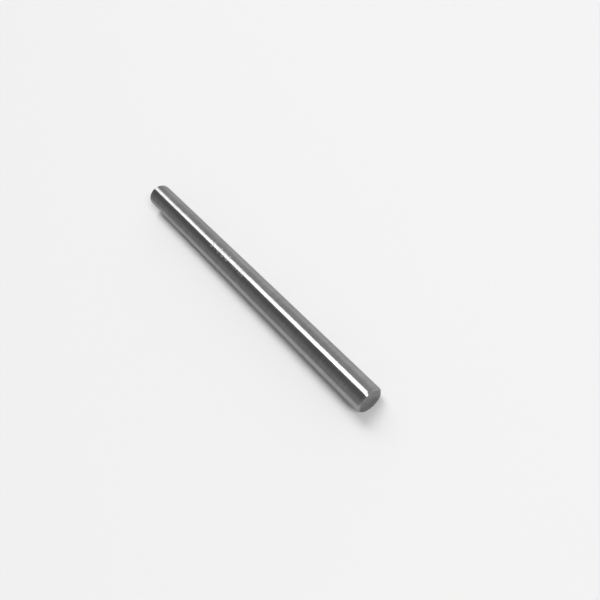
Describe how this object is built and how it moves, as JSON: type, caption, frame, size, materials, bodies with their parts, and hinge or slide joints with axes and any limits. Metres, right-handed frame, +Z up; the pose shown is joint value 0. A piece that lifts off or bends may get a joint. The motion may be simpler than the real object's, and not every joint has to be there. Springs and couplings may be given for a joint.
{
  "type": "pin gauge",
  "caption": "Plain cylindrical pin gauge: a slim ground steel pin with flat, chamfered ends, slid into a hole to check its diameter.",
  "frame": {"origin": "on the pin's axis, halfway along it", "axes": "+X along the pin's axis, +Z up, with the pin lying on its side"},
  "size_m": [0.07, 0.005, 0.005],
  "materials": {
    "ground_steel": "hardened steel, fine ground around the axis to a satin-bright surface"
  },
  "bodies": {
    "root": {"gauge_pin": "ground_steel"}
  },
  "joints": []
}
